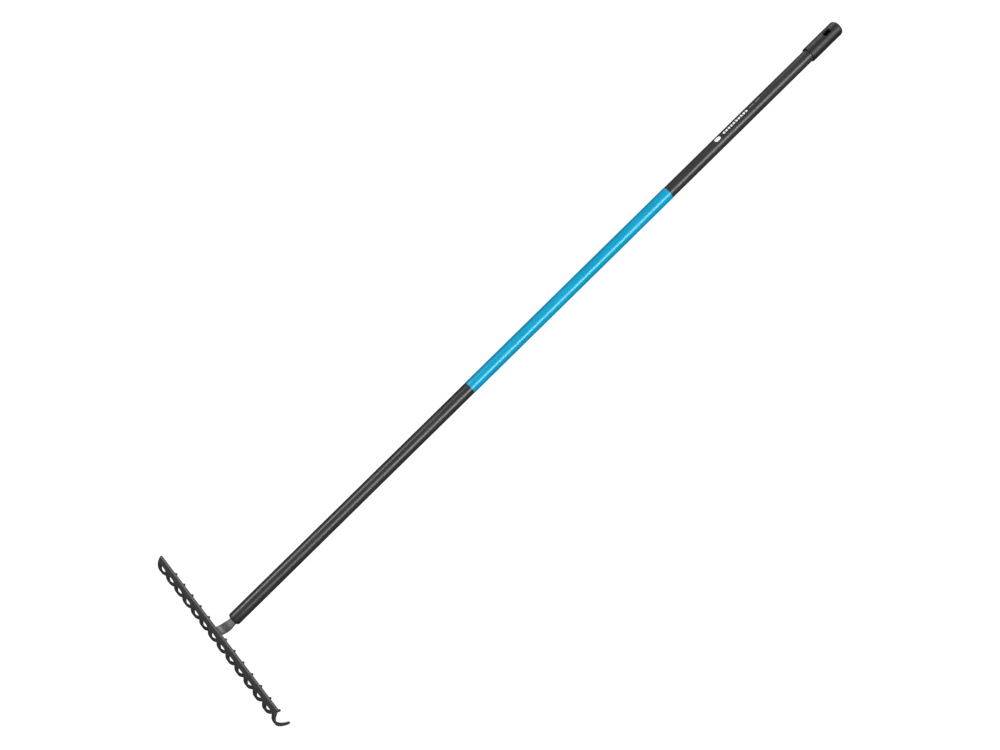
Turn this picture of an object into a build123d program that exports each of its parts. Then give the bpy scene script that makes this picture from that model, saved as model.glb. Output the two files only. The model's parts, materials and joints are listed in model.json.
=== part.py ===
from build123d import *
import os
from math import asin, atan2, cos, degrees, radians, sin

# Garden rake: a level steel head with curved tines, a flat goose-neck strip and a tubular handle.
# Millimetres. +Z is up, +X runs along the head and +Y runs from the head to the grip.
# The rake lies on the ground on its tine tips and on its end cap. The handle slopes down to the
# cap by a degree or two, so every piece is drawn on planes that lean with the handle.
# On those planes y = 0 is the nose of the handle, at the head, and z = 0 is the handle's axis.

# ---- head: one bar with tines, bent to one arc seen from the side ----
tine_count = 14
tine_pitch = 29.35
tine_width = 8.2
tine_tip_width = 4.4
tine_length = 75.6          # along the bend, from the bar's lower edge to the tip
tine_taper_start = 34.1     # along the bend; above it the tine keeps its width
tine_tip_thickness = 3.0
tine_tip_round = 1.9
gap_corner = 7.0            # corners between the tines and the bar
root_stub = 1.0             # the bar's node keeps this much of each tine's root
bend_radius = 52.7          # to the middle of the metal
bend_centre_y = -2.2
bend_centre_z = -29.2
bar_top_angle = 119.0       # where the bar's top edge lies on the bend, from +Y
bar_height = 13.5           # along the bend
bar_thickness = 5.0
bar_edge_round = 1.8

# ---- neck: a flat strip, straight inside the handle and bent up to the bar ----
neck_thickness = 4.0
neck_drop = 2.2             # how far the strip's middle lies below the handle's axis
neck_bend_radius = 28.0
neck_bend_start_y = -7.0
neck_bend_angle = 45.0
neck_width = 19.5
tang_width = 15.5
tang_reach = 62.0           # from the nose of the handle
neck_widening_start_y = -3.0
neck_widening_end_y = -16.0
weld_size = 2.4

# ---- handle tube, sleeve, nose plug and rivet ----
tube_radius = 12.5
tube_wall = 1.0
tube_start_y = 6.0
tube_length = 1508.0
sleeve_start_y = 589.5
sleeve_length = 514.0
sleeve_wall = 0.35
plug_reach = 70.0           # from the nose of the handle
nose_round = 4.0
rivet_y = 27.0
rivet_shank_radius = 2.4
rivet_head_radius = 4.8
rivet_head_height = 1.6
rivet_head_round = 1.28
rivet_tail_radius = 3.6
rivet_tail_height = 3.0
rivet_tail_round = 1.0

# ---- end cap ----
cap_length = 79.1
cap_cover = 33.7            # how far the cap reaches over the tube
cap_wall = 2.5              # over the tube
cap_corner = 5.0
cap_lip_round = 1.2
cap_end_wall = 4.0
slot_from_end = 28.4        # from the cap's end to the middle of the hang slot
slot_length = 17.0
slot_width = 10.0
slot_wall = 2.4

# ---- working sizes ----
clear = 20.0                # how far a cut or a trimmed piece runs past what it meets
tolerance = 0.01            # for finding an edge by its place and length

# ---- values that follow ----
root_angle = bar_top_angle + degrees(bar_height / bend_radius)
tip_angle = root_angle + degrees(tine_length / bend_radius)
stub_angle = root_angle + degrees(root_stub / bend_radius)
taper_angle = root_angle + degrees(tine_taper_start / bend_radius)
bar_width = (tine_count - 1) * tine_pitch + tine_width
gap_width = tine_pitch - tine_width
tube_bore = tube_radius - tube_wall
tube_end_y = tube_start_y + tube_length
cap_radius = tube_radius + cap_wall
cap_start_y = tube_end_y - cap_cover
cap_end_y = cap_start_y + cap_length
slot_y = cap_end_y - slot_from_end


def bend_point(angle, outward=0.0):
    """A point (y, z) on the bend, this far outward from the middle of the metal."""
    radius = bend_radius + outward
    return (
        bend_centre_y + radius * cos(radians(angle)),
        bend_centre_z + radius * sin(radians(angle)),
    )


# ---- how the rake lies: the tine tips and the end cap touch the ground ----
tip_y, tip_z = bend_point(tip_angle, tine_tip_thickness / 2)
lean = atan2(-cap_radius - tip_z, cap_end_y - cap_corner - tip_y)
ground = tip_z * cos(lean) - tip_y * sin(lean)
front_share = (180 - root_angle) / (tip_angle - root_angle)
front_radius = bend_radius + (bar_thickness + (tine_tip_thickness - bar_thickness) * front_share) / 2
front_y = bend_centre_y * cos(lean) + bend_centre_z * sin(lean) - front_radius
grip_y = (cap_end_y - cap_corner) * cos(lean) + (cap_radius - cap_corner) * sin(lean) + cap_corner

# the origin is on the ground, under the middle of the rake
lying = Plane(
    origin=(0, -(front_y + grip_y) / 2, -ground), x_dir=(1, 0, 0), z_dir=(0, sin(lean), cos(lean))
)
side = Plane(origin=lying.origin, x_dir=lying.y_dir, z_dir=lying.x_dir)
front = Plane(origin=lying.origin, x_dir=lying.x_dir, z_dir=-lying.y_dir)
handle_axis = Axis(lying.origin, lying.y_dir)
upward = Axis(lying.origin, lying.z_dir)


def across_bend(angle):
    """The plane square to the bent metal, its normal pointing on towards the tips."""
    y, z = bend_point(angle)
    along = lying.y_dir * -sin(radians(angle)) + lying.z_dir * cos(radians(angle))
    return Plane(origin=lying.from_local_coords(Vector(0, y, z)), x_dir=lying.x_dir, z_dir=along)


def edges_in(builder, plane, length):
    """The edges of this length whose middle lies in the plane."""
    return builder.edges().filter_by(
        lambda edge: abs(plane.to_local_coords(edge.center()).Z) < tolerance
        and abs(edge.length - length) < tolerance
    )


os.makedirs("parts", exist_ok=True)

# ---- the whole head, as it is cut and bent ----
tine_places = [(index - (tine_count - 1) / 2) * tine_pitch for index in range(tine_count)]
gap_places = [x + tine_pitch / 2 for x in tine_places[:-1]]
half_bar = bar_thickness / 2
half_tip = tine_tip_thickness / 2
half_middle = (half_bar + half_tip) / 2
bar_middle_angle = (bar_top_angle + root_angle) / 2
tine_middle_angle = (root_angle + tip_angle) / 2
root_plane = across_bend(root_angle)
tip_plane = across_bend(tip_angle)
gap_face = Plane(origin=root_plane.origin, x_dir=lying.x_dir, z_dir=root_plane.y_dir)
gap_reach = bar_thickness + 2 * gap_corner
corner_end_angle = root_angle + degrees(asin(gap_corner / (bend_radius - half_bar)))
gap_top_z = bend_point(corner_end_angle, -half_bar)[1]
taper_z = bend_point(taper_angle)[1]
tine_foot_z = bend_point(tip_angle, half_tip)[1]
taper_slope = (tine_width - tine_tip_width) / 2 / (taper_z - tine_foot_z)
below_z = tine_foot_z - bar_thickness
below_half_width = tine_tip_width / 2 - taper_slope * bar_thickness

with BuildPart() as head:
    with BuildSketch(side):
        with BuildLine():
            inner_bar = ThreePointArc(
                bend_point(bar_top_angle, -half_bar),
                bend_point(bar_middle_angle, -half_bar),
                bend_point(root_angle, -half_bar),
            )
            inner_tine = ThreePointArc(
                inner_bar @ 1, bend_point(tine_middle_angle, -half_middle), bend_point(tip_angle, -half_tip)
            )
            outer_bar = ThreePointArc(
                bend_point(bar_top_angle, half_bar),
                bend_point(bar_middle_angle, half_bar),
                bend_point(root_angle, half_bar),
            )
            outer_tine = ThreePointArc(
                outer_bar @ 1, bend_point(tine_middle_angle, half_middle), bend_point(tip_angle, half_tip)
            )
            Line(inner_bar @ 0, outer_bar @ 0)
            Line(inner_tine @ 1, outer_tine @ 1)
        make_face()
    extrude(amount=bar_width / 2, both=True)
    fillet(head.faces().sort_by(upward)[-1].edges().filter_by(Axis.X), radius=bar_edge_round)

    # the rounded top of each gap, cut square to the metal
    with BuildSketch(gap_face):
        for x in gap_places:
            with Locations((x, -gap_reach / 2)):
                Rectangle(gap_width, gap_reach)
        fillet(vertices().group_by(Axis.Y)[-1], radius=gap_corner)
    extrude(amount=clear, both=True, mode=Mode.SUBTRACT)

    # the rest of each gap, widening towards the tips
    with BuildSketch(front):
        for x in gap_places:
            with BuildLine():
                Polyline(
                    (x - gap_width / 2, gap_top_z),
                    (x - gap_width / 2, taper_z),
                    (x - tine_pitch / 2 + below_half_width, below_z),
                    (x + tine_pitch / 2 - below_half_width, below_z),
                    (x + gap_width / 2, taper_z),
                    (x + gap_width / 2, gap_top_z),
                    close=True,
                )
            make_face()
        for outward, x in ((-1, tine_places[0]), (1, tine_places[-1])):
            with BuildLine():
                Polyline(
                    (x + outward * tine_width / 2, taper_z),
                    (x + outward * below_half_width, below_z),
                    (x + outward * tine_width, below_z),
                    (x + outward * tine_width, taper_z),
                    close=True,
                )
            make_face()
    extrude(amount=2 * bend_radius, both=True, mode=Mode.SUBTRACT)
    tip_width_edges = edges_in(head, tip_plane, tine_tip_thickness)
    fillet(tip_width_edges, radius=tine_tip_round)

# ---- the head's nodes: the bar with short roots, then each tine ----
stub_plane = across_bend(stub_angle)
with BuildPart() as head_bar:
    add(head.part)
    split(bisect_by=stub_plane, keep=Keep.BOTTOM)
head_bar.part.label = "head_bar"
export_step(head_bar.part, "parts/head_bar.step")

with BuildPart() as tines:
    add(head.part)
    split(bisect_by=stub_plane, keep=Keep.TOP)
for number, tine in enumerate(tines.solids().sort_by(Axis.X), start=1):
    tine.label = f"tine_{number:02}"
    export_step(tine, f"parts/{tine.label}.step")

# ---- rivet: a blind rivet from below, through tube, plug and tang ----
tang_top_z = neck_thickness / 2 - neck_drop
rivet_foot_z = -tube_radius - rivet_head_height


def level_plane(y, z):
    """A plane parallel to the handle, seen from above, with its origin on the rake's middle."""
    return Plane(origin=lying.from_local_coords(Vector(0, y, z)), x_dir=lying.x_dir, z_dir=lying.z_dir)


def square_plane(y):
    """The plane square to the handle at y, its normal pointing to the grip."""
    return Plane(origin=lying.from_local_coords(Vector(0, y, 0)), x_dir=-lying.x_dir, z_dir=lying.y_dir)


with BuildPart() as tang_rivet:
    with BuildSketch(level_plane(rivet_y, rivet_foot_z)):
        Circle(rivet_head_radius)
    extrude(amount=2 * rivet_head_height)
    fillet(edges().filter_by(GeomType.CIRCLE).sort_by(upward)[0], radius=rivet_head_round)
    with BuildSketch(square_plane(rivet_y)):
        Circle(tube_radius)
    extrude(amount=2 * rivet_head_radius, both=True, mode=Mode.SUBTRACT)
    with BuildSketch(level_plane(rivet_y, rivet_foot_z + rivet_head_height / 2)):
        Circle(rivet_shank_radius)
    extrude(amount=tang_top_z - rivet_foot_z)
    with BuildSketch(level_plane(rivet_y, tang_top_z)):
        Circle(rivet_tail_radius)
    extrude(amount=rivet_tail_height)
    fillet(edges().filter_by(GeomType.CIRCLE).sort_by(upward)[-1], radius=rivet_tail_round)
tang_rivet.part.label = "tang_rivet"
export_step(tang_rivet.part, "parts/tang_rivet.step")

# ---- neck: the strip is swept along its bend and then trimmed to its outline ----
bend_turn = radians(neck_bend_angle)
neck_bend_end_y = neck_bend_start_y - neck_bend_radius * sin(bend_turn)
neck_bend_end_z = neck_bend_radius * (1 - cos(bend_turn)) - neck_drop
inner_radius = bend_radius - half_bar
with BuildPart() as neck:
    with BuildLine(side) as neck_path:
        Line((tang_reach, -neck_drop), (neck_bend_start_y, -neck_drop))
        JernArc((neck_bend_start_y, -neck_drop), (-1, 0), neck_bend_radius, -neck_bend_angle)
        Line(
            (neck_bend_end_y, neck_bend_end_z),
            (neck_bend_end_y - clear * cos(bend_turn), neck_bend_end_z + clear * sin(bend_turn)),
        )
    with BuildSketch(square_plane(tang_reach)):
        with Locations((0, -neck_drop)):
            Rectangle(neck_width, neck_thickness)
    sweep()
    with BuildSketch(lying):
        with BuildLine():
            Polyline(
                (-tang_width / 2, tang_reach),
                (-tang_width / 2, neck_widening_start_y),
                (-neck_width / 2, neck_widening_end_y),
                (-neck_width / 2, -bend_radius),
                (neck_width / 2, -bend_radius),
                (neck_width / 2, neck_widening_end_y),
                (tang_width / 2, neck_widening_start_y),
                (tang_width / 2, tang_reach),
                close=True,
            )
        make_face()
        fillet(vertices().group_by(Axis.Y)[-1], radius=neck_thickness)
    extrude(amount=bend_radius, both=True, mode=Mode.INTERSECT)
    with BuildSketch(side):
        with Locations((bend_centre_y, bend_centre_z)):
            Circle(inner_radius + clear)
            Circle(inner_radius, mode=Mode.SUBTRACT)
        with Locations((neck_bend_end_y - bend_radius, 0)):
            Rectangle(2 * bend_radius, 4 * bend_radius, mode=Mode.INTERSECT)
    extrude(amount=neck_width, both=True, mode=Mode.SUBTRACT)
    add(tang_rivet.part, mode=Mode.SUBTRACT)
neck.part.label = "neck"
export_step(neck.part, "parts/neck.step")

# ---- welds: a bead over and a bead under the strip, against the back of the bar ----
from_centre_y = neck_bend_end_y - bend_centre_y
from_centre_z = neck_bend_end_z - bend_centre_z
along_run = from_centre_z * sin(bend_turn) - from_centre_y * cos(bend_turn)
run_to_bar = (along_run**2 - from_centre_y**2 - from_centre_z**2 + inner_radius**2) ** 0.5 - along_run
joint_y = neck_bend_end_y - run_to_bar * cos(bend_turn)
joint_z = neck_bend_end_z + run_to_bar * sin(bend_turn)
with BuildPart() as welds:
    with BuildSketch(side):
        with Locations((joint_y, joint_z)):
            Circle(neck_thickness / 2 + weld_size)
        with Locations((bend_centre_y, bend_centre_z)):
            Circle(inner_radius, mode=Mode.INTERSECT)
        with Locations((joint_y, joint_z)):
            Rectangle(2 * clear, neck_thickness, rotation=-neck_bend_angle, mode=Mode.SUBTRACT)
    extrude(amount=neck_width / 2, both=True)
for name, bead in zip(("weld_lower", "weld_upper"), welds.solids().sort_by(upward)):
    bead.label = name
    export_step(bead, f"parts/{name}.step")

# ---- nose plug: closes the tube's mouth and holds the tang ----
with BuildPart() as nose_plug:
    with BuildSketch(side):
        with BuildLine():
            Polyline(
                (plug_reach, 0),
                (0, 0),
                (0, tube_radius),
                (tube_start_y, tube_radius),
                (tube_start_y, tube_bore),
                (plug_reach, tube_bore),
                close=True,
            )
        make_face()
        fillet(vertices().group_by(Axis.X)[0].sort_by(Axis.Y)[-1], radius=nose_round)
    revolve(axis=handle_axis)
    with BuildSketch(lying.offset(-neck_drop)):
        with Locations((0, tang_reach / 2)):
            Rectangle(tang_width, tang_reach)
    extrude(amount=neck_thickness / 2, both=True, mode=Mode.SUBTRACT)
    add(tang_rivet.part, mode=Mode.SUBTRACT)
nose_plug.part.label = "nose_plug"
export_step(nose_plug.part, "parts/nose_plug.step")


def ring_profile(start_y, length, inner, outer):
    """Half the section of a round sleeve around the handle, drawn on the side plane."""
    with Locations((start_y + length / 2, (inner + outer) / 2)):
        Rectangle(length, outer - inner)


# ---- handle tube and the coloured sleeve around its middle ----
with BuildPart() as handle_tube:
    with BuildSketch(side):
        ring_profile(tube_start_y, tube_length, tube_bore, tube_radius)
    revolve(axis=handle_axis)
    add(tang_rivet.part, mode=Mode.SUBTRACT)
handle_tube.part.label = "handle_tube"
export_step(handle_tube.part, "parts/handle_tube.step")

with BuildPart() as colour_sleeve:
    with BuildSketch(side):
        ring_profile(sleeve_start_y, sleeve_length, tube_radius, tube_radius + sleeve_wall)
    revolve(axis=handle_axis)
colour_sleeve.part.label = "colour_sleeve"
export_step(colour_sleeve.part, "parts/colour_sleeve.step")

# ---- end cap: pushed over the tube, hollow beyond it, with a walled slot to hang it by ----
hollow_length = cap_end_y - cap_end_wall - tube_end_y
with BuildPart() as cap_hollow:
    with BuildSketch(side):
        ring_profile(tube_end_y, hollow_length, 0, tube_bore)
    revolve(axis=handle_axis)
    with BuildSketch(lying):
        with Locations((0, slot_y)):
            SlotOverall(slot_length + 2 * slot_wall, slot_width + 2 * slot_wall, rotation=90)
    extrude(amount=cap_radius, both=True, mode=Mode.SUBTRACT)

with BuildPart() as end_cap:
    with BuildSketch(side):
        ring_profile(cap_start_y, cap_length, 0, cap_radius)
        fillet(vertices().sort_by(Axis.Y)[-2:].sort_by(Axis.X)[0], radius=cap_lip_round)
        fillet(vertices().sort_by(Axis.X)[-2:].sort_by(Axis.Y)[-1], radius=cap_corner)
    revolve(axis=handle_axis)
    with BuildSketch(side):
        ring_profile(cap_start_y, cap_cover, 0, tube_radius)
    revolve(axis=handle_axis, mode=Mode.SUBTRACT)
    add(cap_hollow.part, mode=Mode.SUBTRACT)
    with BuildSketch(lying):
        with Locations((0, slot_y)):
            SlotOverall(slot_length, slot_width, rotation=90)
    extrude(amount=2 * cap_radius, both=True, mode=Mode.SUBTRACT)
end_cap.part.label = "end_cap"
export_step(end_cap.part, "parts/end_cap.step")
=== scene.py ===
"""A level-head garden rake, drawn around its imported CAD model.

Sizes are in millimetres in the handle's own frame: x across, y from the nose of the handle to the
grip, z up and square to the handle. at() turns such a point into the row frame, in metres.
"""

import json
import math

import bmesh
import bpy
from mathutils import Matrix, Vector


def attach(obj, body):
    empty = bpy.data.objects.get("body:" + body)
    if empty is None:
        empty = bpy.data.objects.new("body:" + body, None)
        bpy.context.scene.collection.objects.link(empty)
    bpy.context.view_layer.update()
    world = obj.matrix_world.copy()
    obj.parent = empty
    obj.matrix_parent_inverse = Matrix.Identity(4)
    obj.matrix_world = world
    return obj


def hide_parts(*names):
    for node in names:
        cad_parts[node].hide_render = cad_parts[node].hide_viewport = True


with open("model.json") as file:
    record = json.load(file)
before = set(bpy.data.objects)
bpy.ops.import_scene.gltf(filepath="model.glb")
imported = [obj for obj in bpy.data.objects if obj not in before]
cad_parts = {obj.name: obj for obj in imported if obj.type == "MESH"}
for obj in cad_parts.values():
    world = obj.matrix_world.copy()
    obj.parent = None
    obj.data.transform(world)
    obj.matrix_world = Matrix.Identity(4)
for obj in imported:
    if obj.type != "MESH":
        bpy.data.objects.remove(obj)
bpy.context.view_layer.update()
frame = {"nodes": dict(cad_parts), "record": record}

MM = 0.001
SAME_POINT = 1e-7     # metres: points nearer than this are one
NO_LENGTH = 1e-8      # metres: a shorter edge is dissolved

# ---- sizes of the rake ----
TINE_COUNT = 14
TINE_PITCH = 29.35
TINE_WIDTH = 8.2
TINE_TIP_WIDTH = 4.4
TINE_LENGTH = 75.6
TINE_TAPER_START = 34.1
TINE_TIP_THICKNESS = 3.0
TINE_TIP_ROUND = 1.9
GAP_CORNER = 7.0
BEND_RADIUS = 52.7
BEND_CENTRE_Y = -2.2
BEND_CENTRE_Z = -29.2
BAR_TOP_ANGLE = 119.0
BAR_HEIGHT = 13.5
BAR_THICKNESS = 5.0
BAR_EDGE_ROUND = 1.8
HEAD_EDGE_ROUND = 0.7

NECK_THICKNESS = 4.0
NECK_DROP = 2.2
NECK_BEND_RADIUS = 28.0
NECK_BEND_START_Y = -7.0
NECK_BEND_ANGLE = 45.0
NECK_WIDTH = 19.5
NECK_EDGE_ROUND = 0.9
TANG_WIDTH = 15.5
TANG_REACH = 62.0
NECK_WIDENING_START_Y = -2.0
NECK_WIDENING_END_Y = -17.0
WELD_SIZE = 2.4
WELD_RIPPLE = 1.7
WELD_RIPPLE_HEIGHT = 0.14

TUBE_RADIUS = 12.5
TUBE_WALL = 1.0
TUBE_START_Y = 6.0
TUBE_LENGTH = 1508.0
SLEEVE_START_Y = 589.5
SLEEVE_LENGTH = 514.0
SLEEVE_WALL = 0.35
PLUG_REACH = 70.0
NOSE_ROUND = 4.0
RIVET_Y = 27.0
RIVET_SHANK_RADIUS = 2.4
RIVET_HEAD_RADIUS = 4.8
RIVET_HEAD_HEIGHT = 1.6
RIVET_TAIL_RADIUS = 3.6
RIVET_TAIL_HEIGHT = 3.0
RIVET_HEAD_ROUND = 1.2
RIVET_TAIL_ROUND = 1.0

CAP_LENGTH = 79.1
CAP_COVER = 33.7
CAP_WALL = 2.5
CAP_CORNER = 5.0
CAP_LIP_ROUND = 1.2
SLOT_FROM_END = 28.4
SLOT_LENGTH = 17.0
SLOT_WIDTH = 10.0
SLOT_LIP_ROUND = 1.0
SLOT_LIP_STEPS = 6
SLOT_MOUTH = 1.6

TUBE_END_Y = TUBE_START_Y + TUBE_LENGTH
TUBE_BORE = TUBE_RADIUS - TUBE_WALL
CAP_RADIUS = TUBE_RADIUS + CAP_WALL
CAP_START_Y = TUBE_END_Y - CAP_COVER
CAP_END_Y = CAP_START_Y + CAP_LENGTH
SLOT_Y = CAP_END_Y - SLOT_FROM_END
TANG_TOP_Z = NECK_THICKNESS / 2 - NECK_DROP

# ---- the handle's frame, from the mount on the grip end ----
grip = next(m for m in frame["record"]["mounts"] if m["name"] == "grip_end")
ACROSS = Vector((1, 0, 0))
ALONG = Vector(grip["axis"]).normalized()
ABOVE = ACROSS.cross(ALONG)
GRIP_MIDDLE_Y = (CAP_START_Y + CAP_LIP_ROUND + CAP_END_Y - CAP_CORNER) / 2
NOSE = Vector(grip["pos_m"]) - ALONG * GRIP_MIDDLE_Y * MM


def at(x, y, z):
    """The point of the row frame at x, y, z millimetres in the handle's frame."""
    return NOSE + (ACROSS * x + ALONG * y + ABOVE * z) * MM


# ---- materials ----
def link(tree, source, target):
    tree.links.new(source, target)


def noise(tree, coordinates, scale, detail=2.0, roughness=0.5):
    """A noise texture whose scale is in grains per metre."""
    node = tree.nodes.new("ShaderNodeTexNoise")
    node.inputs["Scale"].default_value = scale
    node.inputs["Detail"].default_value = detail
    node.inputs["Roughness"].default_value = roughness
    link(tree, coordinates, node.inputs["Vector"])
    return node.outputs["Fac"]


NOISE_LOW = 0.3
NOISE_HIGH = 0.7


def spread(tree, value, low, high):
    """Noise, which lies mostly between NOISE_LOW and NOISE_HIGH, taken to low to high."""
    node = tree.nodes.new("ShaderNodeMapRange")
    node.inputs["From Min"].default_value = NOISE_LOW
    node.inputs["From Max"].default_value = NOISE_HIGH
    node.inputs["To Min"].default_value = low
    node.inputs["To Max"].default_value = high
    link(tree, value, node.inputs["Value"])
    return node.outputs["Result"]


def mean(tree, first, second):
    """The mean of two values."""
    half = tree.nodes.new("ShaderNodeMath")
    half.operation = "MULTIPLY"
    half.inputs[1].default_value = 0.5
    link(tree, second, half.inputs[0])
    total = tree.nodes.new("ShaderNodeMath")
    total.operation = "MULTIPLY_ADD"
    total.inputs[1].default_value = 0.5
    link(tree, first, total.inputs[0])
    link(tree, half.outputs[0], total.inputs[2])
    return total.outputs[0]


def bumped(tree, height_map, height, normal=None):
    """The normal of a surface raised by the height map, height metres high, over another normal."""
    bump = tree.nodes.new("ShaderNodeBump")
    bump.inputs["Distance"].default_value = height
    link(tree, height_map, bump.inputs["Height"])
    if normal is not None:
        link(tree, normal, bump.inputs["Normal"])
    return bump.outputs["Normal"]


def finish_of(name, dark, light, roughness, patches, grain, grain_height, peel, peel_height, **shader):
    """A painted, moulded or metal surface.

    dark and light are its two colours, mixed in patches, and roughness is its lowest and highest.
    grain is a fine texture and peel a slow waviness. patches, grain and peel are in grains per metre
    and the heights in metres. Anything else names a socket of the shader, with _ for a space.
    """
    material = bpy.data.materials.new(name)
    material.use_nodes = True
    tree = material.node_tree
    principled = tree.nodes["Principled BSDF"]
    coordinates = tree.nodes.new("ShaderNodeTexCoord").outputs["Object"]

    cloud = noise(tree, coordinates, patches, detail=4.0)
    fine = noise(tree, coordinates, grain)
    mix = tree.nodes.new("ShaderNodeMix")
    mix.data_type = "RGBA"
    mix.inputs["A"].default_value = (*dark, 1)
    mix.inputs["B"].default_value = (*light, 1)
    link(tree, spread(tree, mean(tree, cloud, fine), 0.0, 1.0), mix.inputs["Factor"])
    link(tree, mix.outputs["Result"], principled.inputs["Base Color"])
    link(tree, spread(tree, cloud, *roughness), principled.inputs["Roughness"])

    slow = noise(tree, coordinates, peel, detail=1.0)
    wavy = bumped(tree, slow, peel_height)
    link(tree, bumped(tree, fine, grain_height, wavy), principled.inputs["Normal"])
    for socket, value in shader.items():
        principled.inputs[socket.replace("_", " ")].default_value = value
    return material


powder_coat = finish_of(
    "graphite_powder_coat", (0.047, 0.047, 0.048), (0.064, 0.064, 0.0655), (0.36, 0.44),
    patches=60, grain=1500, grain_height=0.00006, peel=350, peel_height=0.00005,
)
tube_paint = finish_of(
    "graphite_tube_paint", (0.023, 0.0225, 0.0225), (0.033, 0.0323, 0.0323), (0.3, 0.38),
    patches=25, grain=1400, grain_height=0.000015, peel=300, peel_height=0.00003,
)
blue_film = finish_of(
    "sky_blue_film", (0.0005, 0.27, 0.47), (0.001, 0.32, 0.54), (0.26, 0.34),
    patches=18, grain=1200, grain_height=0.00001, peel=220, peel_height=0.00003,
    Specular_IOR_Level=0.85, Specular_Tint=(0.5, 1.0, 1.0, 1.0),
)
black_plastic = finish_of(
    "moulded_black_plastic", (0.008, 0.008, 0.0083), (0.014, 0.014, 0.0147), (0.42, 0.54),
    patches=90, grain=2200, grain_height=0.00006, peel=260, peel_height=0.00004,
)
rivet_metal = finish_of(
    "rivet_plain_steel", (0.42, 0.42, 0.43), (0.56, 0.56, 0.57), (0.28, 0.42),
    patches=300, grain=2500, grain_height=0.00003, peel=600, peel_height=0.00003, Metallic=1.0,
)
mark_paint = finish_of(
    "printed_white", (0.72, 0.72, 0.72), (0.86, 0.86, 0.86), (0.34, 0.46),
    patches=400, grain=2500, grain_height=0.00001, peel=500, peel_height=0.00001,
)
faint_paint = finish_of(
    "printed_grey", (0.1, 0.1, 0.1), (0.17, 0.17, 0.17), (0.34, 0.46),
    patches=400, grain=2500, grain_height=0.00001, peel=500, peel_height=0.00001,
)


# ---- mesh helpers ----
def piece(name, mesh, material, slot, *nodes, crease=35.0):
    """A finished piece: it rides on the rake, stands for the CAD nodes and has its material."""
    shape = bmesh.new()
    shape.from_mesh(mesh)
    bmesh.ops.remove_doubles(shape, verts=shape.verts, dist=SAME_POINT)
    bmesh.ops.dissolve_degenerate(shape, edges=shape.edges, dist=NO_LENGTH)
    bmesh.ops.recalc_face_normals(shape, faces=shape.faces)
    shape.to_mesh(mesh)
    shape.free()
    mesh.shade_smooth()
    mesh.set_sharp_from_angle(angle=math.radians(crease))
    made = bpy.data.objects.new(name, mesh)
    bpy.context.scene.collection.objects.link(made)
    mesh.materials.clear()
    mesh.materials.append(material)
    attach(made, "root")
    if nodes:
        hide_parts(*nodes)
    return made


def mesh_of(name, points, faces):
    """A mesh of these points and faces."""
    mesh = bpy.data.meshes.new(name)
    mesh.from_pydata([tuple(p) for p in points], [], faces)
    mesh.update()
    return mesh


def arc(centre, radius, start, end, steps):
    """Points (y, r) on an arc, from start to end degrees."""
    points = []
    for step in range(steps + 1):
        turn = math.radians(start + (end - start) * step / steps)
        points.append((centre[0] + radius * math.cos(turn), centre[1] + radius * math.sin(turn)))
    return points


def run(start, end, steps):
    """Points (y, r) on a straight line, without its ends."""
    return [
        (start[0] + (end[0] - start[0]) * i / steps, start[1] + (end[1] - start[1]) * i / steps)
        for i in range(1, steps)
    ]


def lathe(name, profile, segments=128, place=at):
    """A closed solid of revolution about the handle's axis. The profile is a closed loop of (y, r)."""
    points = []
    for y, radius in profile:
        for step in range(segments):
            turn = 2 * math.pi * step / segments
            points.append(place(radius * math.cos(turn), y, radius * math.sin(turn)))
    faces = []
    count = len(profile)
    for ring in range(count):
        after = (ring + 1) % count
        for step in range(segments):
            following = (step + 1) % segments
            faces.append((
                ring * segments + step, ring * segments + following,
                after * segments + following, after * segments + step,
            ))
    return mesh_of(name, points, faces)


def clean(mesh):
    """Joins doubled points and turns faces outward, so that the mesh can be cut."""
    shape = bmesh.new()
    shape.from_mesh(mesh)
    bmesh.ops.remove_doubles(shape, verts=shape.verts, dist=SAME_POINT)
    bmesh.ops.recalc_face_normals(shape, faces=shape.faces)
    shape.to_mesh(mesh)
    shape.free()
    return mesh


def cut(mesh, cutter):
    """The mesh with the cutter's shape taken away."""
    body = bpy.data.objects.new("body", clean(mesh))
    tool = bpy.data.objects.new("tool", clean(cutter))
    for thing in (body, tool):
        bpy.context.scene.collection.objects.link(thing)
    boolean = body.modifiers.new("cut", "BOOLEAN")
    boolean.operation = "DIFFERENCE"
    boolean.solver = "EXACT"
    boolean.object = tool
    graph = bpy.context.evaluated_depsgraph_get()
    made = bpy.data.meshes.new_from_object(body.evaluated_get(graph))
    for thing in (body, tool):
        bpy.data.objects.remove(thing)
    return made


def stack(name, rings):
    """A closed solid through rings of points, with both ends filled."""
    count = len(rings[0])
    points = [p for ring in rings for p in ring]
    faces = [tuple(range(count)), tuple((len(rings) - 1) * count + i for i in range(count))]
    for level in range(len(rings) - 1):
        for i in range(count):
            j = (i + 1) % count
            faces.append((
                level * count + i, level * count + j, (level + 1) * count + j, (level + 1) * count + i,
            ))
    return mesh_of(name, points, faces)


# ---- head: drawn flat as columns and rows, its edges rounded, and then bent to its arc ----
ROUND_STEPS = 4
CORNER_STEPS = 5
BAR_ROWS = 6
TINE_ROWS = 30
TIP_STEPS = 5
GAP_COLUMNS = 5
TINE_END = BAR_HEIGHT + TINE_LENGTH
CORNER_CENTRE = BAR_HEIGHT + GAP_CORNER
HALF_WIDTH = TINE_WIDTH / 2
HALF_TIP = TINE_TIP_WIDTH / 2


def bend(x, s, outward):
    """The point at x and s along the bend from the bar's top edge, this far outward of its middle."""
    turn = math.radians(BAR_TOP_ANGLE) + s / BEND_RADIUS
    radius = BEND_RADIUS + outward
    return at(x, BEND_CENTRE_Y + radius * math.cos(turn), BEND_CENTRE_Z + radius * math.sin(turn))


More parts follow.
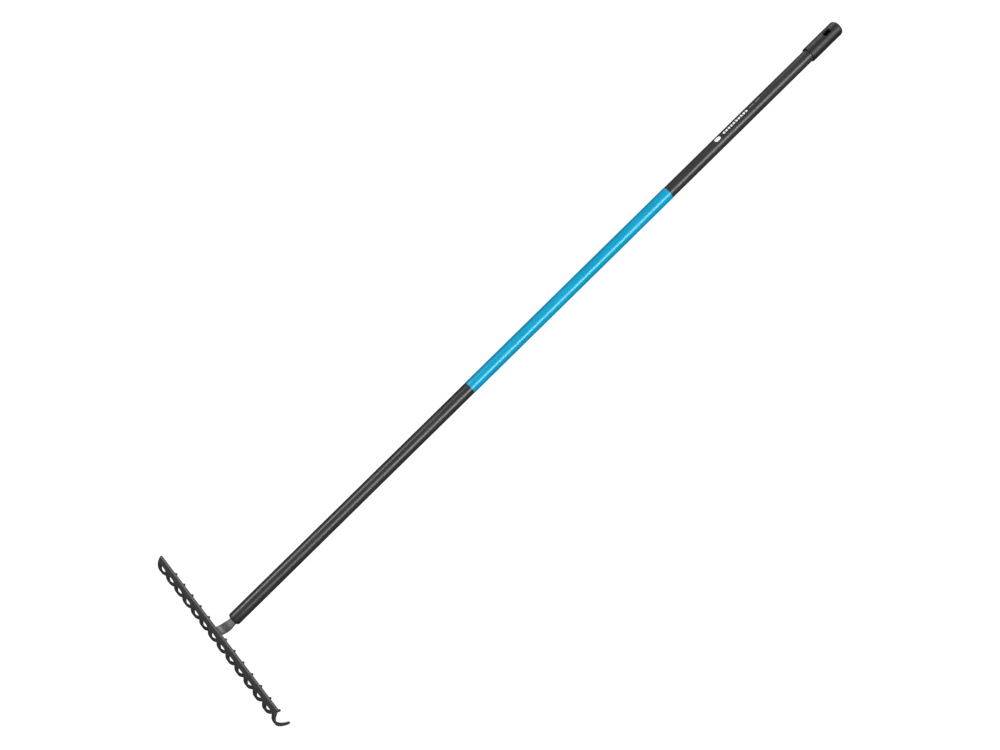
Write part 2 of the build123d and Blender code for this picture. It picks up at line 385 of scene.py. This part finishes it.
def half_thickness(s):
    """Half the steel's thickness: the bar's, thinning along the tine to its tip."""
    share = max(0.0, (s - BAR_HEIGHT) / TINE_LENGTH)
    return (BAR_THICKNESS + (TINE_TIP_THICKNESS - BAR_THICKNESS) * share) / 2


def height_on_bend(s):
    """How high s lies on the bend above its centre, in bend radii."""
    return math.sin(math.radians(BAR_TOP_ANGLE) + s / BEND_RADIUS)


TAPER_TOP = height_on_bend(BAR_HEIGHT + TINE_TAPER_START)
TAPER_FOOT = height_on_bend(TINE_END)


def half_width(s):
    """Half a tine's width: full down to where it tapers, then narrowing with its height."""
    share = (TAPER_TOP - height_on_bend(s)) / (TAPER_TOP - TAPER_FOOT)
    return HALF_WIDTH + (HALF_TIP - HALF_WIDTH) * max(0.0, share)


def head_rows():
    """The rows' s, by kind: bar, corner, tine and tip, and a tine's inner half width at each."""
    edge = HEAD_EDGE_ROUND
    rows = []
    for step in range(BAR_ROWS + 1):
        s = BAR_EDGE_ROUND + (BAR_HEIGHT - edge - BAR_EDGE_ROUND) * step / BAR_ROWS
        rows.append(("bar", s, HALF_WIDTH - edge))
    for step in range(1, CORNER_STEPS + 1):
        turn = math.pi / 2 * step / CORNER_STEPS
        rows.append(("corner", CORNER_CENTRE - (GAP_CORNER + edge) * math.cos(turn), HALF_WIDTH - edge))
    tip_start = TINE_END - TINE_TIP_ROUND
    for step in range(1, TINE_ROWS + 1):
        s = CORNER_CENTRE + (tip_start - CORNER_CENTRE) * step / TINE_ROWS
        rows.append(("tine", s, half_width(s) - edge))
    for step in range(1, TIP_STEPS + 1):
        turn = math.pi / 2 * step / TIP_STEPS
        inner = TINE_TIP_ROUND - edge
        half = HALF_TIP - TINE_TIP_ROUND + inner * math.cos(turn)
        rows.append(("tip", tip_start + inner * math.sin(turn), half))
    return rows


ROWS = head_rows()
LAST_BAR = BAR_ROWS
LAST_CORNER = BAR_ROWS + CORNER_STEPS
LAST_ROW = len(ROWS) - 1


def corner_column(centre, turn, side, step):
    """A column through a gap's rounded corner, centred at x = centre, with a tine on this side."""
    x = centre + side * (GAP_CORNER + HEAD_EDGE_ROUND) * math.sin(turn)
    return {
        "kind": "corner", "x": x, "last": LAST_BAR + step, "centre": centre, "turn": turn, "side": side,
    }


def head_columns():
    """The columns from left to right. A tine has three: its two sides and its middle.

    Each column runs from the bar's top edge down to its last row.
    """
    columns = []
    for index in range(TINE_COUNT):
        place = (index - (TINE_COUNT - 1) / 2) * TINE_PITCH
        reach = HALF_WIDTH + GAP_CORNER
        corner = [math.pi / 2 * step / CORNER_STEPS for step in range(CORNER_STEPS)]
        if index > 0:
            for step, turn in enumerate(corner):
                columns.append(corner_column(place - reach, turn, 1, step))
        for side in (-1, 0, 1):
            columns.append({
                "kind": "tine", "place": place, "side": side, "last": LAST_ROW, "index": index,
            })
        if index < TINE_COUNT - 1:
            for step, turn in reversed(list(enumerate(corner))):
                columns.append(corner_column(place + reach, turn, -1, step))
            flat = TINE_PITCH - 2 * reach
            for step in range(1, GAP_COLUMNS):
                x = place + reach + flat * step / GAP_COLUMNS
                columns.append({"kind": "gap", "x": x, "last": LAST_BAR})
    return columns


def outer_side(column):
    """-1 or 1 on the rake's own two ends, and 0 elsewhere."""
    if column["kind"] != "tine" or column["side"] == 0:
        return 0
    ends = {0: -1, TINE_COUNT - 1: 1}
    return column["side"] if ends.get(column["index"]) == column["side"] else 0


def edge_round(column, row):
    """The radius of the rounded edge: the bar's top edge and its ends are rounder than the tines."""
    kind, s, _ = ROWS[row]
    if outer_side(column) and kind == "bar":
        share = (s - BAR_EDGE_ROUND) / (BAR_HEIGHT - HEAD_EDGE_ROUND - BAR_EDGE_ROUND)
        return BAR_EDGE_ROUND + (HEAD_EDGE_ROUND - BAR_EDGE_ROUND) * share
    return HEAD_EDGE_ROUND


def inner_x(column, row):
    """The x of a column at a row, inside the rounded edge."""
    if column["kind"] != "tine":
        return column["x"]
    kind, _, half = ROWS[row]
    if kind == "bar" and outer_side(column):
        half = HALF_WIDTH - edge_round(column, row)
    return column["place"] + column["side"] * half


def side_edge(column, row):
    """One point of the outline on a tine's side or tip: (point, inward, radius)."""
    kind, s, _ = ROWS[row]
    side = column["side"]
    if kind == "tip":
        turn = math.pi / 2 * (row - LAST_ROW + TIP_STEPS) / TIP_STEPS
        away = (side * math.cos(turn), math.sin(turn))
        centre = (column["place"] + side * (HALF_TIP - TINE_TIP_ROUND), TINE_END - TINE_TIP_ROUND)
        point = (centre[0] + TINE_TIP_ROUND * away[0], centre[1] + TINE_TIP_ROUND * away[1])
        return point, (-away[0], -away[1]), HEAD_EDGE_ROUND
    return (column["place"] + side * half_width(s), s), (-side, 0), edge_round(column, row)


def head_outline(columns):
    """The outline as a loop of (column, row, point, inward, radius)."""
    loop = []
    for number, column in enumerate(columns):
        loop.append((number, 0, (inner_x(column, 0), 0), (0, 1), BAR_EDGE_ROUND))

    def end_corner(number, side):
        """Adds the rounded top corner at one end of the bar."""
        column = columns[number]
        centre = (inner_x(column, 0), BAR_EDGE_ROUND)
        turns = [math.pi / 2 * step / CORNER_STEPS for step in range(1, CORNER_STEPS)]
        if side < 0:
            turns.reverse()
        for turn in turns:
            away = (side * math.sin(turn), -math.cos(turn))
            point = (centre[0] + BAR_EDGE_ROUND * away[0], centre[1] + BAR_EDGE_ROUND * away[1])
            loop.append((number, 0, point, (-away[0], -away[1]), BAR_EDGE_ROUND))

    last = len(columns) - 1
    end_corner(last, 1)
    for number in range(last, -1, -1):
        column = columns[number]
        if column["kind"] == "gap":
            loop.append((number, LAST_BAR, (column["x"], BAR_HEIGHT), (0, -1), HEAD_EDGE_ROUND))
        elif column["kind"] == "corner":
            away = (column["side"] * math.sin(column["turn"]), -math.cos(column["turn"]))
            point = (column["centre"] + GAP_CORNER * away[0], CORNER_CENTRE + GAP_CORNER * away[1])
            loop.append((number, column["last"], point, away, HEAD_EDGE_ROUND))
        elif column["side"] == 0:
            loop.append((number, LAST_ROW, (column["place"], TINE_END), (0, -1), HEAD_EDGE_ROUND))
        else:
            first = 0 if outer_side(column) else LAST_CORNER
            rows = range(first, LAST_ROW + 1)
            for row in rows if column["side"] > 0 else reversed(rows):
                loop.append((number, row, *side_edge(column, row)))
    end_corner(0, -1)
    return loop


def head_mesh():
    """Both faces, a rounded edge around each and the wall between them."""
    columns = head_columns()
    loop = head_outline(columns)
    points, faces = [], []
    walls = {}
    for face_side in (1, -1):
        keys = {}
        for number, column in enumerate(columns):
            for row in range(column["last"] + 1):
                s = ROWS[row][1]
                keys[number, row] = len(points)
                points.append(bend(inner_x(column, row), s, face_side * half_thickness(s)))
        for number in range(len(columns) - 1):
            left, right = columns[number]["last"], columns[number + 1]["last"]
            for row in range(min(left, right)):
                faces.append((keys[number, row], keys[number + 1, row],
                              keys[number + 1, row + 1], keys[number, row + 1]))
            low = min(left, right)
            if right == left + 1:
                faces.append((keys[number, low], keys[number + 1, low], keys[number + 1, low + 1]))
            elif left == right + 1:
                faces.append((keys[number, low], keys[number + 1, low], keys[number, low + 1]))
        rings = [[keys[number, row] for number, row, _, _, _ in loop]]
        for step in range(ROUND_STEPS - 1, -1, -1):
            turn = math.pi / 2 * step / ROUND_STEPS
            ring = []
            for _, _, point, inward, radius in loop:
                inset = radius * (1 - math.cos(turn))
                x, s = point[0] + inward[0] * inset, point[1] + inward[1] * inset
                rise = half_thickness(s) - radius * (1 - math.sin(turn))
                ring.append(len(points))
                points.append(bend(x, s, face_side * rise))
            rings.append(ring)
        walls[face_side] = rings[-1]
        for inner, outer in zip(rings, rings[1:]):
            for i in range(len(loop)):
                j = (i + 1) % len(loop)
                faces.append((inner[i], inner[j], outer[j], outer[i]))
    for i in range(len(loop)):
        j = (i + 1) % len(loop)
        faces.append((walls[1][i], walls[1][j], walls[-1][j], walls[-1][i]))
    return mesh_of("rake_head", points, faces)


tine_nodes = sorted(n for n in frame["nodes"] if n.startswith("tine_"))
piece("rake_head", head_mesh(), powder_coat, "graphite_paint", "head_bar", *tine_nodes, crease=50)

# ---- neck: a flat strip with rounded edges ----
BEND_TURN = math.radians(NECK_BEND_ANGLE)
BEND_END_Y = NECK_BEND_START_Y - NECK_BEND_RADIUS * math.sin(BEND_TURN)
BEND_END_Z = NECK_BEND_RADIUS * (1 - math.cos(BEND_TURN)) - NECK_DROP
INNER_RADIUS = BEND_RADIUS - BAR_THICKNESS / 2
FROM_CENTRE_Y = BEND_END_Y - BEND_CENTRE_Y
FROM_CENTRE_Z = BEND_END_Z - BEND_CENTRE_Z
ALONG_RUN = FROM_CENTRE_Z * math.sin(BEND_TURN) - FROM_CENTRE_Y * math.cos(BEND_TURN)
RUN_TO_BAR = (ALONG_RUN**2 - FROM_CENTRE_Y**2 - FROM_CENTRE_Z**2 + INNER_RADIUS**2) ** 0.5 - ALONG_RUN
JOINT_Y = BEND_END_Y - RUN_TO_BAR * math.cos(BEND_TURN)
JOINT_Z = BEND_END_Z + RUN_TO_BAR * math.sin(BEND_TURN)
INTO_BAR = 1.0


def neck_half_width(y):
    """Half the strip's width: the tang's inside the handle, easing out to the neck's."""
    share = (NECK_WIDENING_START_Y - y) / (NECK_WIDENING_START_Y - NECK_WIDENING_END_Y)
    share = min(1.0, max(0.0, share))
    eased = share * share * (3 - 2 * share)
    return (TANG_WIDTH + (NECK_WIDTH - TANG_WIDTH) * eased) / 2


def neck_stations():
    """Along the strip's middle: (y, z, turn, half width)."""
    stations = []
    round_steps = 6
    for step in range(round_steps + 1):
        turn = math.pi / 2 * step / round_steps
        y = TANG_REACH - NECK_THICKNESS * (1 - math.sin(turn))
        stations.append((y, -NECK_DROP, 0.0, TANG_WIDTH / 2 - NECK_THICKNESS * (1 - math.cos(turn))))
    stations.sort(key=lambda station: -station[0])
    straight_steps = 24
    tang_start = TANG_REACH - NECK_THICKNESS
    for step in range(1, straight_steps + 1):
        y = tang_start + (NECK_BEND_START_Y - tang_start) * step / straight_steps
        stations.append((y, -NECK_DROP, 0.0, neck_half_width(y)))
    bend_steps = 18
    for step in range(1, bend_steps + 1):
        turn = BEND_TURN * step / bend_steps
        y = NECK_BEND_START_Y - NECK_BEND_RADIUS * math.sin(turn)
        z = NECK_BEND_RADIUS * (1 - math.cos(turn)) - NECK_DROP
        stations.append((y, z, turn, neck_half_width(y)))
    run_steps = 6
    for step in range(1, run_steps + 1):
        far = (RUN_TO_BAR + INTO_BAR) * step / run_steps
        y = BEND_END_Y - far * math.cos(BEND_TURN)
        stations.append((y, BEND_END_Z + far * math.sin(BEND_TURN), BEND_TURN, neck_half_width(y)))
    return stations


def neck_mesh():
    """The strip as rings with rounded corners, one at each station."""
    rings = []
    half_high = NECK_THICKNESS / 2
    edge_steps = 4
    for y, z, turn, half in neck_stations():
        ring = []
        for quarter in range(4):
            corner_x = (half - NECK_EDGE_ROUND) * (1 if quarter in (0, 3) else -1)
            corner_up = (half_high - NECK_EDGE_ROUND) * (1 if quarter in (0, 1) else -1)
            for step in range(edge_steps + 1):
                angle = math.pi / 2 * (quarter + step / edge_steps)
                x = corner_x + NECK_EDGE_ROUND * math.cos(angle)
                up = corner_up + NECK_EDGE_ROUND * math.sin(angle)
                ring.append(at(x, y + up * math.sin(turn), z + up * math.cos(turn)))
        rings.append(ring)
    return stack("neck_strip", rings)


piece("neck_strip", neck_mesh(), powder_coat, "graphite_paint", "neck", crease=50)


# ---- welds: a rippled bead over and one under the strip ----
WELD_STEPS = 120
WELD_ARC_STEPS = 12
WELD_ARC = math.radians(90 * 1.12)   # a little past square, into the strip
WELD_END_SHRINK = 0.8                # the share of its size that the bead loses at its ends
WELD_END_POWER = 8                   # how abruptly it does so
WELD_ROOT = 1.5                      # how far its hidden root lies past the joint
WELD_INTO_BAR = 0.8
WELD_INTO_STRIP = 0.3


def weld_size(x):
    """How far the bead reaches from the strip's middle at x: rippled, and smaller at its ends."""
    half = NECK_WIDTH / 2
    fullness = (1 - (x / half) ** WELD_END_POWER) ** 0.5 if abs(x) < half else 0.0
    phase = (x / WELD_RIPPLE) % 1.0
    ripple = WELD_RIPPLE_HEIGHT * math.sin(math.pi * phase) ** 0.5
    reach = NECK_THICKNESS / 2 + WELD_SIZE
    return reach - (1 - fullness) * WELD_SIZE * WELD_END_SHRINK - WELD_RIPPLE_HEIGHT + ripple


def weld_mesh(name, side):
    """A bead along the joint, over the strip where side is 1 and under it where side is -1."""
    along = (-math.cos(BEND_TURN), math.sin(BEND_TURN))
    across = (side * math.sin(BEND_TURN), side * math.cos(BEND_TURN))
    rings = []
    for step in range(WELD_STEPS + 1):
        x = NECK_WIDTH / 2 * math.sin(math.pi / 2 * (2 * step / WELD_STEPS - 1))
        size = weld_size(x)
        outline = [(size, -WELD_INTO_BAR)]
        for i in range(1, WELD_ARC_STEPS + 1):
            angle = WELD_ARC * i / WELD_ARC_STEPS
            outline.append((size * math.cos(angle), size * math.sin(angle)))
        ring = [at(x, JOINT_Y + along[0] * WELD_ROOT, JOINT_Z + along[1] * WELD_ROOT)]
        for out, back in outline:
            out = max(out, NECK_THICKNESS / 2 - WELD_INTO_STRIP)
            y = JOINT_Y + across[0] * out - along[0] * back
            ring.append(at(x, y, JOINT_Z + across[1] * out - along[1] * back))
        rings.append(ring)
    return stack(name, rings)


piece(
    "weld_bead_upper", weld_mesh("weld_bead_upper", 1),
    powder_coat, "graphite_paint", "weld_upper", crease=60,
)
piece(
    "weld_bead_lower", weld_mesh("weld_bead_lower", -1),
    powder_coat, "graphite_paint", "weld_lower", crease=60,
)

# ---- nose plug: a rounded nose with a slot for the strip ----
PLUG_CHAMFER = 0.4
PLUG_END_CHAMFER = 1.0
PLUG_CLEARANCE = 0.02
SLOT_CLEARANCE = 0.12
CUTTER_START = -1.0
CUTTER_STEPS = 4


def box_mesh(name, x, y_from, y_to, z_from, z_to, round_by):
    """A bar along y, this wide and with rounded edges, used as a cutter."""
    ring = []
    for quarter, (sx, sz) in enumerate(((1, 1), (-1, 1), (-1, -1), (1, -1))):
        centre_x = sx * (x / 2 - round_by)
        centre_z = (z_from + z_to) / 2 + sz * ((z_to - z_from) / 2 - round_by)
        for step in range(CUTTER_STEPS + 1):
            angle = math.pi / 2 * (quarter + step / CUTTER_STEPS)
            ring.append((centre_x + round_by * math.cos(angle), centre_z + round_by * math.sin(angle)))
    return stack(name, [[at(px, y, pz) for px, pz in ring] for y in (y_from, y_to)])


PLUG_RADIUS = TUBE_BORE - PLUG_CLEARANCE
plug_profile = [(0.0, 0.0)]
plug_profile += run((0.0, 0.0), (0.0, TUBE_RADIUS - NOSE_ROUND), 4)
plug_profile += arc((NOSE_ROUND, TUBE_RADIUS - NOSE_ROUND), NOSE_ROUND, 180, 90, 12)
plug_profile += [(TUBE_START_Y - PLUG_CHAMFER, TUBE_RADIUS), (TUBE_START_Y, TUBE_RADIUS - PLUG_CHAMFER)]
plug_profile += [(TUBE_START_Y, PLUG_RADIUS)]
plug_profile += run((TUBE_START_Y, PLUG_RADIUS), (PLUG_REACH, PLUG_RADIUS), 8)
plug_profile += [(PLUG_REACH - PLUG_END_CHAMFER, PLUG_RADIUS)]
plug_profile += [(PLUG_REACH, TUBE_BORE - PLUG_END_CHAMFER), (PLUG_REACH, 0.0)]
plug_slot = box_mesh(
    "plug_slot", TANG_WIDTH + 2 * SLOT_CLEARANCE, CUTTER_START, TANG_REACH + SLOT_CLEARANCE,
    -NECK_DROP - NECK_THICKNESS / 2 - SLOT_CLEARANCE, TANG_TOP_Z + SLOT_CLEARANCE, NECK_EDGE_ROUND,
)
piece(
    "handle_nose_plug", cut(lathe("handle_nose_plug", plug_profile), plug_slot),
    black_plastic, "black_plastic", "nose_plug", crease=30,
)

# ---- handle tube and the coloured sleeve ----
TUBE_EDGE = 0.35
tube_profile = [(TUBE_START_Y, TUBE_BORE)]
tube_profile += arc((TUBE_START_Y + TUBE_EDGE, TUBE_RADIUS - TUBE_EDGE), TUBE_EDGE, 180, 90, 4)
tube_profile += run((TUBE_START_Y + TUBE_EDGE, TUBE_RADIUS), (TUBE_END_Y - TUBE_EDGE, TUBE_RADIUS), 60)
tube_profile += arc((TUBE_END_Y - TUBE_EDGE, TUBE_RADIUS - TUBE_EDGE), TUBE_EDGE, 90, 0, 4)
tube_profile += [(TUBE_END_Y, TUBE_BORE)]
piece(
    "round_tube", lathe("round_tube", tube_profile),
    tube_paint, "tube_paint", "handle_tube", crease=50,
)

SLEEVE_TOP = TUBE_RADIUS + SLEEVE_WALL
SLEEVE_EDGE = 0.25
SLEEVE_INNER = TUBE_RADIUS - 0.05     # just inside the tube's surface, so that no gap shows
SLEEVE_END_Y = SLEEVE_START_Y + SLEEVE_LENGTH
sleeve_profile = [(SLEEVE_START_Y, SLEEVE_INNER)]
sleeve_profile += arc((SLEEVE_START_Y + SLEEVE_EDGE, SLEEVE_TOP - SLEEVE_EDGE), SLEEVE_EDGE, 180, 90, 4)
sleeve_profile += run((SLEEVE_START_Y, SLEEVE_TOP), (SLEEVE_END_Y, SLEEVE_TOP), 30)
sleeve_profile += arc((SLEEVE_END_Y - SLEEVE_EDGE, SLEEVE_TOP - SLEEVE_EDGE), SLEEVE_EDGE, 90, 0, 4)
sleeve_profile += [(SLEEVE_END_Y, SLEEVE_INNER)]
piece(
    "blue_sleeve", lathe("blue_sleeve", sleeve_profile),
    blue_film, "blue_sleeve", "colour_sleeve", crease=50,
)

# ---- end cap: rounded end, lip and a hang slot with rounded lips ----
cap_profile = [(CAP_START_Y, TUBE_RADIUS)]
cap_profile += arc((CAP_START_Y + CAP_LIP_ROUND, CAP_RADIUS - CAP_LIP_ROUND), CAP_LIP_ROUND, 180, 90, 8)
cap_profile += run((CAP_START_Y + CAP_LIP_ROUND, CAP_RADIUS), (CAP_END_Y - CAP_CORNER, CAP_RADIUS), 40)
cap_profile += arc((CAP_END_Y - CAP_CORNER, CAP_RADIUS - CAP_CORNER), CAP_CORNER, 90, 0, 16)
cap_profile += run((CAP_END_Y, CAP_RADIUS - CAP_CORNER), (CAP_END_Y, 0.0), 5)
cap_profile += [(CAP_END_Y, 0.0), (TUBE_END_Y, 0.0), (TUBE_END_Y, TUBE_RADIUS)]


def slot_cutter():
    """The hang slot through the cap, flaring where it comes out, so that its lips are rounded."""
    straight = (SLOT_LENGTH - SLOT_WIDTH) / 2
    turns = 48
    outline = []
    for i in range(turns):
        angle = 2 * math.pi * i / turns
        shift = straight if math.sin(angle) >= 0 else -straight
        outline.append((math.cos(angle), math.sin(angle), shift))

    def ring(side, depth, flare):
        """The slot's outline, widened by flare, this deep under the cap's surface on this side."""
        made = []
        for cx, cy, shift in outline:
            x = (SLOT_WIDTH / 2 + flare) * cx
            y = SLOT_Y + shift + (SLOT_WIDTH / 2 + flare) * cy
            surface = math.sqrt(CAP_RADIUS**2 - x**2)
            made.append(at(x, y, side * (surface - depth)))
        return made

    flare = []
    for step in range(SLOT_LIP_STEPS + 1):
        turn = math.pi / 2 * step / SLOT_LIP_STEPS
        flare.append((SLOT_LIP_ROUND * (1 - math.cos(turn)), SLOT_LIP_ROUND * (1 - math.sin(turn))))
    flare.insert(0, (-SLOT_LIP_ROUND, SLOT_LIP_ROUND * SLOT_MOUTH))
    upper = [ring(1, depth, wider) for depth, wider in flare]
    lower = [ring(-1, depth, wider) for depth, wider in reversed(flare)]
    return stack("slot_cutter", upper + lower)


piece(
    "grip_end_cap", cut(lathe("grip_end_cap", cap_profile), slot_cutter()),
    black_plastic, "black_plastic", "end_cap", crease=40,
)

# ---- rivet: head against the underside of the tube, shank, and tail on the tang ----
RIVET_FOOT_Z = -TUBE_RADIUS - RIVET_HEAD_HEIGHT
RIVET_BORE = 1.1
RIVET_BORE_DEPTH = 0.5
RIVET_BORE_FLARE = 0.2
RIVET_BORE_LIP = 0.1


def rivet_place(x, y, z):
    """The lathe's axis stands upright through the tube at the rivet."""
    return at(x, RIVET_Y + z, y)


RIVET_HEAD_TOP_Z = RIVET_FOOT_Z + 2 * RIVET_HEAD_HEIGHT
RIVET_TAIL_TOP_Z = TANG_TOP_Z + RIVET_TAIL_HEIGHT
rivet_profile = [
    (RIVET_FOOT_Z + RIVET_BORE_DEPTH, 0.0), (RIVET_FOOT_Z + RIVET_BORE_DEPTH, RIVET_BORE),
    (RIVET_FOOT_Z + RIVET_BORE_LIP, RIVET_BORE + RIVET_BORE_FLARE),
]
rivet_profile += arc(
    (RIVET_FOOT_Z + RIVET_HEAD_ROUND, RIVET_HEAD_RADIUS - RIVET_HEAD_ROUND), RIVET_HEAD_ROUND, 180, 90, 8,
)
rivet_profile += [
    (RIVET_HEAD_TOP_Z, RIVET_HEAD_RADIUS), (RIVET_HEAD_TOP_Z, RIVET_SHANK_RADIUS),
    (TANG_TOP_Z, RIVET_SHANK_RADIUS), (TANG_TOP_Z, RIVET_TAIL_RADIUS),
]
rivet_profile += arc(
    (RIVET_TAIL_TOP_Z - RIVET_TAIL_ROUND, RIVET_TAIL_RADIUS - RIVET_TAIL_ROUND), RIVET_TAIL_ROUND, 90, 0, 6,
)
rivet_profile += [(RIVET_TAIL_TOP_Z, 0.0)]
piece(
    "blind_rivet", lathe("blind_rivet", rivet_profile, segments=64, place=rivet_place),
    rivet_metal, "rivet_steel", "tang_rivet",
)


# ---- printed mark on the upper tube: plain bars only ----
PRINT_HEIGHT = 0.04
MARK_TURN = math.radians(-7.0)        # about the handle, from its top towards -X


def printed_bar(points, faces, start_y, length, width, corner):
    """Adds a plain bar with rounded corners, wrapped round the tube at the mark's turn."""
    steps = 12
    for radius in (TUBE_RADIUS + PRINT_HEIGHT, TUBE_RADIUS - PRINT_HEIGHT):
        first = len(points)
        for step in range(steps + 1):
            across = width * (step / steps - 0.5)
            over = max(0.0, abs(across) - (width / 2 - corner))
            inset = corner - math.sqrt(max(0.0, corner**2 - over**2))
            angle = MARK_TURN + across / TUBE_RADIUS
            for y in (start_y + inset, start_y + length - inset):
                points.append(at(radius * math.sin(angle), y, radius * math.cos(angle)))
        for step in range(steps):
            i = first + 2 * step
            faces.append((i, i + 1, i + 3, i + 2))
    top = len(points) - 4 * (steps + 1)
    base = top + 2 * (steps + 1)
    for step in range(steps):
        for end in (0, 1):
            i, j = top + 2 * step + end, base + 2 * step + end
            faces.append((i, i + 2, j + 2, j))
    for i, j in ((top, base), (top + 2 * steps, base + 2 * steps)):
        faces.append((i, i + 1, j + 1, j))


def printed(name, material, bars):
    """One printed piece of plain bars, each (start y, length, width, corner radius)."""
    points, faces = [], []
    for bar in bars:
        printed_bar(points, faces, *bar)
    piece(name, mesh_of(name, points, faces), material, "tube_paint", crease=50)


BLOCK_START_Y = 1232.5
BLOCK_LENGTH = 13.0
BLOCK_WIDTH = 8.4
BLOCK_ROUND = 3.2
DASH_COUNT = 10
DASH_START_Y = 1254.0
DASH_PITCH = 6.6
DASH_LENGTH = 4.6
DASH_WIDTH = 4.4
DASH_ROUND = 0.7
LINE_COUNT = 2
LINE_START_Y = 1323.0
LINE_PITCH = 16.0
LINE_LENGTH = 13.0
LINE_WIDTH = 2.6
LINE_ROUND = 0.5
printed("print_plain_block", mark_paint, [(BLOCK_START_Y, BLOCK_LENGTH, BLOCK_WIDTH, BLOCK_ROUND)])
printed("print_plain_dashes", mark_paint, [
    (DASH_START_Y + i * DASH_PITCH, DASH_LENGTH, DASH_WIDTH, DASH_ROUND) for i in range(DASH_COUNT)
])
printed("print_faint_lines", faint_paint, [
    (LINE_START_Y + i * LINE_PITCH, LINE_LENGTH, LINE_WIDTH, LINE_ROUND) for i in range(LINE_COUNT)
])

# ---- floor, light and camera ----
FLOOR_HALF = 12.0
FLOOR_GREY = 0.2
FLOOR_GLOW = 0.9
LIGHT_BELOW = 0.02
LIGHT_ABOVE = 0.18
FADE_START = -0.1       # the light grows with a direction's Z, from here
FADE_END = 0.6          # to here


def pale_floor():
    """A plain floor that is nearly white and throws no light back on the rake."""
    mesh = bpy.data.meshes.new("floor")
    corners = [(x * FLOOR_HALF, y * FLOOR_HALF, 0) for x, y in ((-1, -1), (1, -1), (1, 1), (-1, 1))]
    mesh.from_pydata(corners, [], [(0, 1, 2, 3)])
    floor = bpy.data.objects.new("floor", mesh)
    bpy.context.scene.collection.objects.link(floor)
    material = bpy.data.materials.new("pale_floor")
    material.use_nodes = True
    shader = material.node_tree.nodes["Principled BSDF"]
    shader.inputs["Base Color"].default_value = (FLOOR_GREY, FLOOR_GREY, FLOOR_GREY, 1)
    shader.inputs["Roughness"].default_value = 0.9
    shader.inputs["Specular IOR Level"].default_value = 0.1
    shader.inputs["Emission Color"].default_value = (1, 1, 1, 1)
    shader.inputs["Emission Strength"].default_value = FLOOR_GLOW
    floor.visible_glossy = False
    floor.visible_diffuse = False
    mesh.materials.append(material)


pale_floor()


def soft_box(name, place, aim, width, length, radiance):
    """A soft box whose long side lies as near along Y as its aim allows. radiance is its brightness."""
    light = bpy.data.lights.new(name, "AREA")
    light.shape = "RECTANGLE"
    light.size = width
    light.size_y = length
    light.energy = radiance * math.pi * width * length
    lamp = bpy.data.objects.new(name, light)
    back = (Vector(place) - Vector(aim)).normalized()
    side = Vector((0, 1, 0)).cross(back).normalized()
    up = back.cross(side)
    lamp.matrix_world = Matrix.Translation(place) @ Matrix((side, up, back)).transposed().to_4x4()
    lamp.visible_camera = False
    bpy.context.scene.collection.objects.link(lamp)


def beside(tilt, y, distance):
    """The place this far from the handle, tilted about it by this many degrees towards +X."""
    turn = math.radians(tilt)
    return (math.sin(turn) * distance, y, math.cos(turn) * distance)


soft_box(
    "key_box", place=beside(58, 1.4, 3.2), aim=(0, 1.4, 0),
    width=1.0, length=5.0, radiance=11.0,
)
soft_box(
    "left_box", place=beside(-31, -1.15, 3.2), aim=(0, -0.9, 0),
    width=0.6, length=1.9, radiance=15.0,
)
soft_box(
    "far_box", place=(-2.6, 3.5, 1.1), aim=(0, -0.8, 0.05),
    width=1.4, length=1.2, radiance=18.0,
)


def studio_world():
    """Soft light from above, little from below. The backdrop itself is white."""
    world = bpy.data.worlds.new("studio")
    world.use_nodes = True
    tree = world.node_tree
    lighting = tree.nodes["Background"]
    backdrop = tree.nodes.new("ShaderNodeBackground")
    backdrop.inputs["Color"].default_value = (1, 1, 1, 1)
    direction = tree.nodes.new("ShaderNodeTexCoord").outputs["Generated"]
    parts = tree.nodes.new("ShaderNodeSeparateXYZ")
    link(tree, direction, parts.inputs[0])
    fade = tree.nodes.new("ShaderNodeMapRange")
    fade.inputs["From Min"].default_value = FADE_START
    fade.inputs["From Max"].default_value = FADE_END
    fade.inputs["To Min"].default_value = LIGHT_BELOW
    fade.inputs["To Max"].default_value = LIGHT_ABOVE
    link(tree, parts.outputs["Z"], fade.inputs["Value"])
    link(tree, fade.outputs["Result"], lighting.inputs["Strength"])
    lighting.inputs["Color"].default_value = (1, 1, 1, 1)
    mix = tree.nodes.new("ShaderNodeMixShader")
    link(tree, tree.nodes.new("ShaderNodeLightPath").outputs["Is Camera Ray"], mix.inputs[0])
    link(tree, lighting.outputs[0], mix.inputs[1])
    link(tree, backdrop.outputs[0], mix.inputs[2])
    link(tree, mix.outputs[0], tree.nodes["World Output"].inputs["Surface"])
    return world


bpy.context.scene.world = studio_world()
bpy.context.scene.view_settings.view_transform = "Standard"

CAMERA_LENS = 43.05
SENSOR_WIDTH = 36.0
CAMERA_PLACE = Vector((1.0677, -0.2332, 1.9314))
CAMERA_LOOK = Vector((-0.4822, 0.0581, -0.8741)).normalized()
CAMERA_UP = Vector((-0.5959, 0.7099, 0.3754))
camera_right = CAMERA_LOOK.cross(CAMERA_UP).normalized()
camera_up = camera_right.cross(CAMERA_LOOK)
camera = bpy.data.objects.new("camera", bpy.data.cameras.new("camera"))
camera.data.lens = CAMERA_LENS
camera.data.sensor_width = SENSOR_WIDTH
camera.data.clip_start = 0.05
camera.data.clip_end = 100.0
camera.matrix_world = Matrix((
    (camera_right.x, camera_up.x, -CAMERA_LOOK.x, CAMERA_PLACE.x),
    (camera_right.y, camera_up.y, -CAMERA_LOOK.y, CAMERA_PLACE.y),
    (camera_right.z, camera_up.z, -CAMERA_LOOK.z, CAMERA_PLACE.z),
    (0, 0, 0, 1),
))
bpy.context.scene.collection.objects.link(camera)
bpy.context.scene.camera = camera
